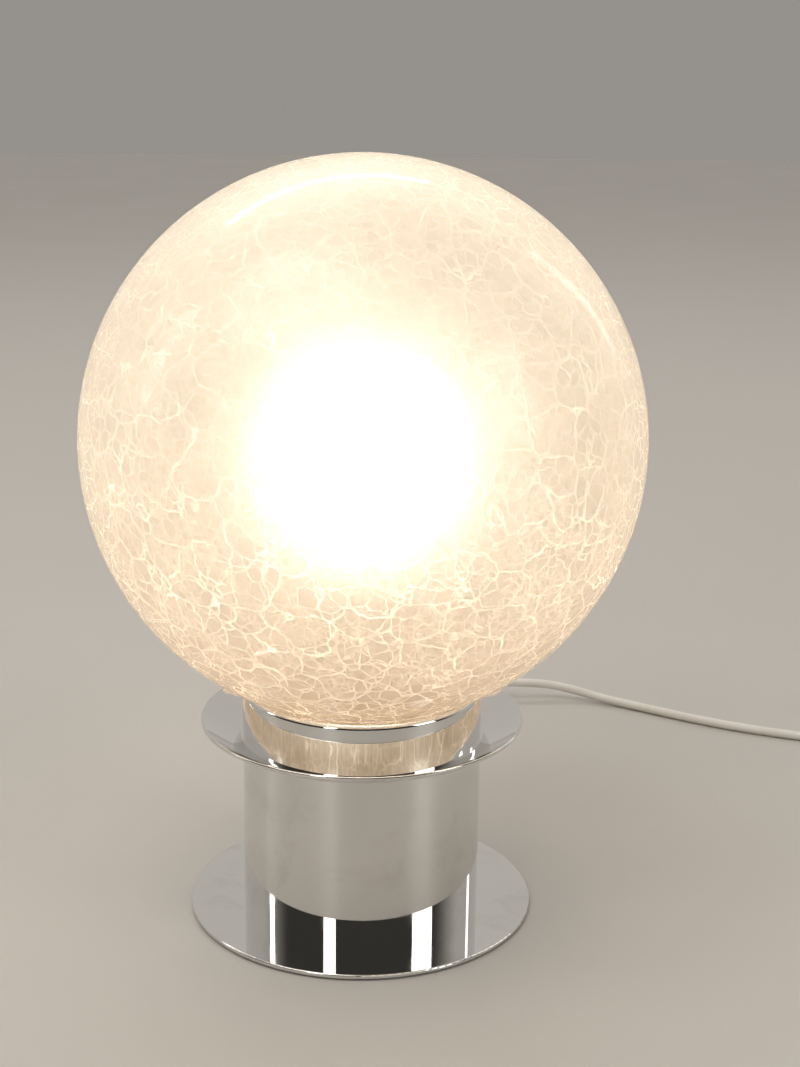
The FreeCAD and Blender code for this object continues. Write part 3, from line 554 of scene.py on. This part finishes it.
# ---------------------------------------------------------------- effects shared by the materials
def build_polish_group():
    """Polished metal: finger haze in soft patches and hairline rubbing marks."""
    tree, given, result = new_group(
        "polished_metal",
        [
            ("Clean Roughness", "Float", 0.05),
            ("Hazy Roughness", "Float", 0.18),
            ("Patch Scale", "Float", 30.0),
            ("Hairline Scale", "Float", 900.0),
        ],
        [("Roughness", "Float"), ("Height", "Float"), ("Haze", "Float")],
    )
    place = object_place(tree)
    sockets = {
        "Vector": place,
        "Scale": given["Patch Scale"],
        "Detail": 5.0,
        "Roughness": 0.62,
        "Distortion": 0.6,
    }
    patches = add(tree, "ShaderNodeTexNoise", sockets)
    haze = reshape(tree, patches.outputs[0], 0.50, 0.78, 0.0, 1.0, True)
    stretched = add(tree, "ShaderNodeMapping", {"Vector": place, "Scale": (1.0, 1.0, 0.05)}).outputs[0]
    hair = noise(tree, stretched, given["Hairline Scale"], 2.0)
    lines = reshape(tree, hair, 0.62, 0.80, 0.0, 1.0, True)
    worn = sum_up(tree, "MULTIPLY", lines, 0.35)
    share = add(
        tree, "ShaderNodeMath", {"Value": haze, "Value_001": worn}, operation="ADD", use_clamp=True
    ).outputs[0]
    rough = reshape(tree, share, 0.0, 1.0, given["Clean Roughness"], given["Hazy Roughness"])
    tree.links.new(rough, result["Roughness"])
    tree.links.new(sum_up(tree, "ADD", patches.outputs[0], worn), result["Height"])
    tree.links.new(haze, result["Haze"])
    return tree


def build_moulded_group():
    """Moulded skin: slight clouding of the colour, a fine grain, and handling gloss."""
    tree, given, result = new_group(
        "moulded_skin",
        [
            ("Colour", "Color", (0.8, 0.8, 0.8, 1.0)),
            ("Clouded Colour", "Color", (0.7, 0.7, 0.7, 1.0)),
            ("Cloud Scale", "Float", 45.0),
            ("Grain Scale", "Float", 1500.0),
            ("Glossy", "Float", 0.3),
            ("Dull", "Float", 0.5),
        ],
        [("Colour", "Color"), ("Roughness", "Float"), ("Height", "Float")],
    )
    place = object_place(tree)
    cloud = noise(tree, place, given["Cloud Scale"], 4.0)
    share = reshape(tree, cloud, 0.35, 0.70, 0.0, 1.0, True)
    colour = blend_colours(tree, share, given["Colour"], given["Clouded Colour"])
    grain = noise(tree, place, given["Grain Scale"], 2.0)
    rough = reshape(tree, cloud, 0.3, 0.7, given["Glossy"], given["Dull"])
    tree.links.new(colour, result["Colour"])
    tree.links.new(rough, result["Roughness"])
    tree.links.new(grain, result["Height"])
    return tree


def build_edge_group():
    """Rubbed edges: 1 where a corner is rounded over by wear, broken up by noise."""
    tree, given, result = new_group("rubbed_edges", [("Reach", "Float", 0.0005)], [("Mask", "Float")])
    rounded = add(tree, "ShaderNodeBevel", {"Radius": given["Reach"]}, samples=4).outputs[0]
    flat = add(tree, "ShaderNodeNewGeometry").outputs["Normal"]
    sockets = {"Vector": rounded, "Vector_001": flat}
    agree = add(tree, "ShaderNodeVectorMath", sockets, operation="DOT_PRODUCT")
    corner = reshape(tree, agree.outputs["Value"], 0.985, 0.90, 0.0, 1.0, True)
    place = object_place(tree)
    patchy = noise(tree, place, 260.0, 4.0)
    kept = reshape(tree, patchy, 0.38, 0.62, 0.0, 1.0)
    tree.links.new(sum_up(tree, "MULTIPLY", corner, kept), result["Mask"])
    return tree


def build_crackle_group():
    """Ice crackle: the net of fine healed cracks between cells of one size, and a tone for each cell."""
    tree, given, result = new_group(
        "ice_crackle",
        [
            ("Cells Per Metre", "Float", 80.0),
            ("Line Width", "Float", 0.06),
            ("Waviness", "Float", 0.8),
            ("Offset", "Float", 0.0),
        ],
        [("Lines", "Float"), ("Tone", "Float")],
    )
    place = object_place(tree)
    moved = add(
        tree, "ShaderNodeVectorMath", {"Vector": place, "Vector_001": given["Offset"]}, operation="ADD"
    ).outputs[0]
    scaled = scale_vector(tree, moved, given["Cells Per Metre"])
    sockets = {"Vector": scaled, "Scale": 0.9, "Detail": 2.0, "Roughness": 0.6}
    wave = add(tree, "ShaderNodeTexNoise", sockets)
    centred = add(
        tree,
        "ShaderNodeVectorMath",
        {"Vector": wave.outputs["Color"], "Vector_001": (0.5, 0.5, 0.5)},
        operation="SUBTRACT",
    ).outputs[0]
    bent = scale_vector(tree, centred, given["Waviness"])
    spot = add(
        tree, "ShaderNodeVectorMath", {"Vector": scaled, "Vector_001": bent}, operation="ADD"
    ).outputs[0]
    sockets = {"Vector": spot, "Scale": 1.0}
    net = add(tree, "ShaderNodeTexVoronoi", sockets, feature="DISTANCE_TO_EDGE").outputs["Distance"]
    lines = reshape(tree, net, 0.0, given["Line Width"], 1.0, 0.0, True)
    cell = add(tree, "ShaderNodeTexVoronoi", sockets, feature="F1").outputs["Color"]
    tone = add(tree, "ShaderNodeSeparateColor", {"Color": cell}).outputs[0]
    tree.links.new(lines, result["Lines"])
    tree.links.new(tone, result["Tone"])
    return tree


POLISHED = build_polish_group()
MOULDED = build_moulded_group()
RUBBED = build_edge_group()
CRACKLE = build_crackle_group()


# ---------------------------------------------------------------- materials
def new_material(name, **plain):
    """A material with the constant values set on its shader."""
    made = bpy.data.materials.new(name)
    made.use_nodes = True
    shader = made.node_tree.nodes["Principled BSDF"]
    for label, value in plain.items():
        shader.inputs[label.replace("_", " ")].default_value = value
    return made, made.node_tree, shader


def bump(tree, shader, height, strength, depth):
    """Fine relief on the whole shader; the depth is in metres."""
    normal = add(
        tree, "ShaderNodeBump", {"Height": height, "Strength": strength, "Distance": depth}
    ).outputs[0]
    tree.links.new(normal, shader.inputs["Normal"])


def metal(name, colour, stained, clean, hazy, patches, hairlines, strength, edge=None):
    """Worn metal: clean and hazy are roughnesses, patches and hairlines are noise scales."""
    made, tree, shader = new_material(name, Metallic=1.0)
    finish = place_group(
        tree,
        POLISHED,
        Clean_Roughness=clean,
        Hazy_Roughness=hazy,
        Patch_Scale=patches,
        Hairline_Scale=hairlines,
    )
    tint = blend_colours(tree, finish["Haze"], colour, stained)
    if edge:
        rubbed = place_group(tree, RUBBED, Reach=0.0004)["Mask"]
        tint = blend_colours(tree, rubbed, tint, edge)
    tree.links.new(tint, shader.inputs["Base Color"])
    tree.links.new(finish["Roughness"], shader.inputs["Roughness"])
    bump(tree, shader, finish["Height"], strength, 0.0003)
    return made


def moulded(name, colour, clouded, glossy, dull, grain, strength, edge=None):
    """Moulded plastic or rubber: glossy and dull are roughnesses, grain is a noise scale."""
    made, tree, shader = new_material(name)
    skin = place_group(
        tree, MOULDED, Colour=colour, Clouded_Colour=clouded, Grain_Scale=grain, Glossy=glossy, Dull=dull
    )
    tint = skin["Colour"]
    if edge:
        rubbed = place_group(tree, RUBBED, Reach=0.0006)["Mask"]
        tint = blend_colours(tree, rubbed, tint, edge)
    tree.links.new(tint, shader.inputs["Base Color"])
    tree.links.new(skin["Roughness"], shader.inputs["Roughness"])
    bump(tree, shader, skin["Height"], strength, 0.0002)
    return made


def make_globe_glass():
    """Outer wall: warm glass with a painted glow, dimmer and browner towards the gallery, and pale
    healed cracks that are painted with a brighter glow.
    """
    made, tree, shader = new_material(
        "lit_crackle_glass",
        IOR=1.45,
        Transmission_Weight=0.9,
        Coat_Weight=0.4,
        Coat_Roughness=0.06,
        Emission_Strength=1.0,
    )
    wide = place_group(
        tree, CRACKLE, Cells_Per_Metre=68.0, Line_Width=0.021, Waviness=0.65, Offset=0.0
    )
    middle = place_group(
        tree, CRACKLE, Cells_Per_Metre=140.0, Line_Width=0.040, Waviness=0.55, Offset=0.31
    )
    fine = place_group(
        tree, CRACKLE, Cells_Per_Metre=290.0, Line_Width=0.066, Waviness=0.55, Offset=0.77
    )
    place = object_place(tree)
    broken = noise(tree, place, 55.0, 3.0)
    present = reshape(tree, broken, 0.44, 0.60, 0.0, 1.0, True)
    gone = reshape(tree, broken, 0.60, 0.40, 0.15, 1.0, True)
    lines = sum_up(tree, "MULTIPLY", wide["Lines"], 0.95)
    second = sum_up(tree, "MULTIPLY", middle["Lines"], gone)
    third = sum_up(tree, "MULTIPLY", sum_up(tree, "MULTIPLY", fine["Lines"], present), 0.55)
    lines = sum_up(tree, "MAXIMUM", lines, sum_up(tree, "MULTIPLY", second, 0.8))
    lines = sum_up(tree, "MAXIMUM", lines, third)
    # Painted glow in the emission: dimmer and browner low down by the gallery, lighter higher up, and
    # varied a little from cell to cell.
    height = add(tree, "ShaderNodeSeparateXYZ", {"Vector": place}).outputs["Z"]
    lift = reshape(tree, height, 0.105, 0.235, 0.0, 1.0, True)
    painted_glow = blend_colours(tree, lift, (0.095, 0.042, 0.010, 1.0), (0.145, 0.105, 0.062, 1.0))
    tone = reshape(tree, middle["Tone"], 0.0, 1.0, 0.90, 1.06)
    painted_glow = scale_vector(tree, painted_glow, tone)
    # Painted brighter glow along the cracks: full strength low down, half as strong near the top.
    strength = reshape(tree, height, 0.17, 0.29, 1.0, 0.5, True)
    share = sum_up(tree, "MULTIPLY", lines, strength)
    colour = blend_colours(tree, share, painted_glow, (0.98, 0.79, 0.54, 1.0))
    tree.links.new(colour, shader.inputs["Emission Color"])
    tint = blend_colours(tree, lines, (0.985, 0.935, 0.865, 1.0), (1.0, 0.975, 0.93, 1.0))
    tree.links.new(tint, shader.inputs["Base Color"])
    rough = reshape(tree, middle["Tone"], 0.0, 1.0, 0.86, 0.94)
    tree.links.new(rough, shader.inputs["Roughness"])
    bump(tree, shader, broken, 0.22, 0.002)
    return made


def make_globe_inside():
    """Inner wall: clear glass, rippled so that its roughness varies."""
    made, tree, shader = new_material(
        "globe_inner_wall", IOR=1.45, Transmission_Weight=1.0, Base_Color=(1.0, 0.985, 0.955, 1.0)
    )
    place = object_place(tree)
    ripples = noise(tree, place, 60.0, 1.0)
    tree.links.new(reshape(tree, ripples, 0.3, 0.7, 0.08, 0.16), shader.inputs["Roughness"])
    return made


def make_bulb_glass():
    """Etched bulb, lit: brightest at the belly, dimmer towards the neck."""
    made, tree, shader = new_material(
        "lit_frosted_bulb",
        IOR=1.5,
        Roughness=0.5,
        Emission_Strength=11.5,
        Base_Color=(0.95, 0.93, 0.88, 1.0),
    )
    place = object_place(tree)
    height = add(tree, "ShaderNodeSeparateXYZ", {"Vector": place}).outputs["Z"]
    belly = reshape(tree, height, 0.165, 0.205, 0.0, 1.0, True)
    grain = noise(tree, place, 900.0, 2.0)
    shade = reshape(tree, grain, 0.3, 0.7, 0.96, 1.0)
    warm = blend_colours(tree, belly, (0.30, 0.23, 0.16, 1.0), (1.0, 0.925, 0.83, 1.0))
    warm = scale_vector(tree, warm, shade)
    tree.links.new(warm, shader.inputs["Emission Color"])
    bump(tree, shader, grain, 0.15, 0.0001)
    made.cycles.emission_sampling = "NONE"
    return made


def make_felt():
    """Pressed felt: dark nap with pale lint."""
    made, tree, shader = new_material(
        "pressed_felt", Roughness=0.95, Sheen_Weight=0.35, Sheen_Roughness=0.6
    )
    place = object_place(tree)
    nap = add(
        tree, "ShaderNodeTexNoise", {"Vector": place, "Scale": 1300.0, "Detail": 6.0, "Roughness": 0.7}
    ).outputs[0]
    lint = noise(tree, place, 90.0, 3.0)
    dark = blend_colours(tree, nap, (0.010, 0.010, 0.011, 1.0), (0.060, 0.060, 0.064, 1.0))
    specks = reshape(tree, lint, 0.62, 0.75, 0.0, 0.3)
    colour = blend_colours(tree, specks, dark, (0.12, 0.12, 0.12, 1.0))
    tree.links.new(colour, shader.inputs["Base Color"])
    bump(tree, shader, nap, 0.6, 0.0006)
    return made


def make_cast_iron():
    """Cast ballast: sandy skin, rust spots and rubbed edges."""
    made, tree, shader = new_material("cast_ballast")
    place = object_place(tree)
    sand = add(
        tree, "ShaderNodeTexNoise", {"Vector": place, "Scale": 420.0, "Detail": 6.0, "Roughness": 0.65}
    ).outputs[0]
    rust = noise(tree, place, 35.0, 5.0)
    grey = blend_colours(tree, sand, (0.035, 0.035, 0.037, 1.0), (0.11, 0.11, 0.112, 1.0))
    spots = reshape(tree, rust, 0.58, 0.72, 0.0, 0.8, True)
    grey = blend_colours(tree, spots, grey, (0.16, 0.055, 0.022, 1.0))
    rubbed = place_group(tree, RUBBED, Reach=0.0009)["Mask"]
    colour = blend_colours(tree, rubbed, grey, (0.30, 0.30, 0.31, 1.0))
    tree.links.new(colour, shader.inputs["Base Color"])
    tree.links.new(reshape(tree, sand, 0.3, 0.7, 0.55, 0.85), shader.inputs["Roughness"])
    tree.links.new(reshape(tree, spots, 0.0, 0.8, 0.75, 0.05), shader.inputs["Metallic"])
    bump(tree, shader, sand, 0.55, 0.0007)
    return made


def make_porcelain():
    """Glazed porcelain: clouded white with small iron specks."""
    made, tree, shader = new_material("glazed_porcelain", Coat_Weight=0.8, Coat_Roughness=0.05)
    skin = place_group(
        tree,
        MOULDED,
        Colour=(0.86, 0.84, 0.79, 1.0),
        Clouded_Colour=(0.80, 0.775, 0.72, 1.0),
        Cloud_Scale=120.0,
        Grain_Scale=500.0,
        Glossy=0.12,
        Dull=0.30,
    )
    place = object_place(tree)
    speck = add(tree, "ShaderNodeTexVoronoi", {"Vector": place, "Scale": 450.0}).outputs["Distance"]
    dots = reshape(tree, speck, 0.05, 0.10, 0.5, 0.0)
    colour = blend_colours(tree, dots, skin["Colour"], (0.35, 0.28, 0.20, 1.0))
    tree.links.new(colour, shader.inputs["Base Color"])
    tree.links.new(skin["Roughness"], shader.inputs["Roughness"])
    bump(tree, shader, skin["Height"], 0.12, 0.0002)
    return made


FINISHES = {
    "felt": make_felt(),
    "chrome": metal(
        "mirror_chrome", (0.74, 0.735, 0.72, 1), (0.66, 0.65, 0.63, 1), 0.035, 0.13, 38.0, 1100.0, 0.010
    ),
    "cast_iron": make_cast_iron(),
    "zinc_steel": metal(
        "zinc_plate",
        (0.56, 0.57, 0.58, 1),
        (0.46, 0.44, 0.38, 1),
        0.22,
        0.45,
        160.0,
        1600.0,
        0.15,
        edge=(0.74, 0.74, 0.75, 1),
    ),
    "white_pvc": moulded(
        "lead_pvc", (0.76, 0.735, 0.69, 1), (0.70, 0.665, 0.60, 1), 0.36, 0.52, 1100.0, 0.10
    ),
    "clamp_plastic": moulded(
        "clamp_nylon",
        (0.035, 0.035, 0.038, 1),
        (0.055, 0.055, 0.058, 1),
        0.42,
        0.60,
        1500.0,
        0.20,
        edge=(0.11, 0.11, 0.11, 1),
    ),
    "live_core": moulded(
        "brown_core", (0.16, 0.065, 0.025, 1), (0.12, 0.05, 0.02, 1), 0.35, 0.5, 2200.0, 0.08
    ),
    "neutral_core": moulded(
        "blue_core", (0.03, 0.10, 0.36, 1), (0.025, 0.08, 0.28, 1), 0.35, 0.5, 2200.0, 0.08
    ),
    "gasket_rubber": moulded(
        "seat_silicone", (0.60, 0.60, 0.575, 1), (0.50, 0.49, 0.46, 1), 0.55, 0.75, 900.0, 0.25
    ),
    "crackle_glass": make_globe_glass(),
    "holder_plastic": moulded(
        "holder_thermoset",
        (0.80, 0.785, 0.74, 1),
        (0.76, 0.72, 0.63, 1),
        0.18,
        0.32,
        1400.0,
        0.05,
        edge=(0.86, 0.85, 0.82, 1),
    ),
    "porcelain": make_porcelain(),
    "brass": metal(
        "pressed_brass",
        (0.78, 0.55, 0.22, 1),
        (0.42, 0.25, 0.09, 1),
        0.16,
        0.42,
        180.0,
        1500.0,
        0.10,
        edge=(0.92, 0.74, 0.40, 1),
    ),
    "frosted_glass": make_bulb_glass(),
    "bulb_cap_metal": metal(
        "rolled_aluminium", (0.72, 0.72, 0.71, 1), (0.55, 0.54, 0.51, 1), 0.20, 0.40, 200.0, 1500.0, 0.08
    ),
    "black_vitrite": moulded(
        "cap_vitrite", (0.010, 0.010, 0.012, 1), (0.022, 0.021, 0.024, 1), 0.08, 0.22, 900.0, 0.06
    ),
    "switch_plastic": moulded(
        "switch_shell",
        (0.79, 0.775, 0.73, 1),
        (0.745, 0.72, 0.65, 1),
        0.26,
        0.40,
        1900.0,
        0.16,
        edge=(0.86, 0.85, 0.82, 1),
    ),
    "plug_plastic": moulded(
        "plug_shell", (0.77, 0.755, 0.71, 1), (0.72, 0.69, 0.62, 1), 0.28, 0.42, 1700.0, 0.14
    ),
    "nickel_pins": metal(
        "nickel_plate",
        (0.66, 0.63, 0.57, 1),
        (0.55, 0.51, 0.44, 1),
        0.14,
        0.34,
        220.0,
        1800.0,
        0.05,
        edge=(0.78, 0.70, 0.50, 1),
    ),
}


def dress(piece, material):
    """Gives the piece this material in every slot it has, or in a first one."""
    slots = piece.data.materials
    if len(slots):
        for number in range(len(slots)):
            slots[number] = material
    else:
        slots.append(material)


def dress_everything():
    for part in frame["record"]["subparts"]:
        dress(nodes[part["node"]], FINISHES[part["material_slot"]])
    for piece in (lead, relief):
        dress(piece, FINISHES["white_pvc"])
    dress(sleeve, FINISHES["holder_plastic"])
    dress(rocker, FINISHES["switch_plastic"])
    dress(plug, FINISHES["plug_plastic"])
    dress_globe()


def dress_globe():
    """Crackle outside; the wall's inner faces, the neck's too, get the inner glass."""
    dress(globe, FINISHES["crackle_glass"])
    globe.data.materials.append(make_globe_inside())
    middle = Vector((0.0, 0.0, GLOBE_CENTRE))
    inside_neck = NECK_RADIUS - 0.002
    for face in globe.data.polygons:
        from_middle = (face.center - middle).length
        if face.center.z < NECK_TOP:
            inner = math.hypot(face.center.x, face.center.y) < inside_neck
        else:
            inner = from_middle < GLOBE_RADIUS - GLOBE_WALL / 2
        if inner:
            face.material_index = 1


dress_everything()


# ---------------------------------------------------------------- studio
def make_floor():
    nothing_selected()
    bpy.ops.mesh.primitive_plane_add(size=9.0, location=(0.0, 0.0, 0.0))
    floor = bpy.context.object
    floor.name = "studio_floor"
    made, tree, shader = new_material("studio_floor", Specular_IOR_Level=0.35)
    place = object_place(tree)
    cloud = noise(tree, place, 6.0, 4.0)
    colour = blend_colours(tree, cloud, (0.50, 0.475, 0.44, 1.0), (0.54, 0.515, 0.48, 1.0))
    tree.links.new(colour, shader.inputs["Base Color"])
    tree.links.new(reshape(tree, cloud, 0.3, 0.7, 0.42, 0.52), shader.inputs["Roughness"])
    floor.data.materials.append(made)


def make_surroundings():
    """A room by direction: pale behind and overhead, dim towards the viewer, plain to the camera."""
    world = bpy.data.worlds.new("studio")
    scene.world = world
    world.use_nodes = True
    tree = world.node_tree
    tree.nodes.clear()
    way = add(tree, "ShaderNodeTexCoord").outputs["Generated"]
    parts = add(tree, "ShaderNodeSeparateXYZ", {"Vector": way})
    behind = reshape(tree, parts.outputs["Y"], -0.25, 0.35, 0.0, 1.0, True)
    overhead = reshape(tree, parts.outputs["Z"], 0.50, 0.80, 0.0, 1.0, True)
    room = blend_colours(tree, behind, (0.05, 0.047, 0.043, 1.0), (0.56, 0.53, 0.49, 1.0))
    room = blend_colours(tree, overhead, room, (0.62, 0.60, 0.57, 1.0))
    path = add(tree, "ShaderNodeLightPath")
    plain = sum_up(tree, "MAXIMUM", path.outputs["Is Camera Ray"], path.outputs["Is Transmission Ray"])
    colour = blend_colours(tree, plain, room, (0.30, 0.285, 0.262, 1.0))
    sky = add(tree, "ShaderNodeBackground", {"Color": colour, "Strength": 1.0})
    out = add(tree, "ShaderNodeOutputWorld")
    tree.links.new(sky.outputs[0], out.inputs[0])


def hang_light(name, place, aim, width, height, radiance, colour):
    """An area light of a plain brightness, turned towards a point and hidden from the camera."""
    lamp = bpy.data.lights.new(name, "AREA")
    lamp.shape = "RECTANGLE"
    lamp.size = width
    lamp.size_y = height
    lamp.energy = radiance * math.pi * width * height
    lamp.color = colour
    light = bpy.data.objects.new(name, lamp)
    light.location = place
    light.rotation_euler = (Vector(aim) - Vector(place)).to_track_quat("-Z", "Y").to_euler()
    light.visible_camera = False
    scene.collection.objects.link(light)


def window_strip(name, azimuth, width, radiance):
    """A tall window of light, 2.5 m off and 27 degrees up, in a direction turned from +Y."""
    turn, lift = math.radians(azimuth), math.radians(27.0)
    way = Vector((math.sin(turn) * math.cos(lift), math.cos(turn) * math.cos(lift), math.sin(lift)))
    hang_light(name, way * 2.5, (0, 0, 0), width, 1.3, radiance, (1.0, 0.97, 0.92))


make_floor()
make_surroundings()
hang_light("softbox_overhead", (-0.9, -0.7, 2.1), (0, 0, 0.1), 1.5, 1.5, 2.2, (1.0, 0.97, 0.93))
hang_light("strip_ceiling", (-0.35, 1.6, 1.82), (0, 0, 0.3), 1.7, 0.12, 11.0, (1.0, 0.98, 0.95))
window_strip("window_left", -84.0, 0.25, 3.5)
window_strip("window_behind_left", -150.0, 0.45, 3.5)
window_strip("window_right", 118.0, 0.85, 3.5)
window_strip("window_far_right", 50.0, 0.18, 3.0)

scene.view_settings.view_transform = "Standard"

bpy.context.view_layer.update()
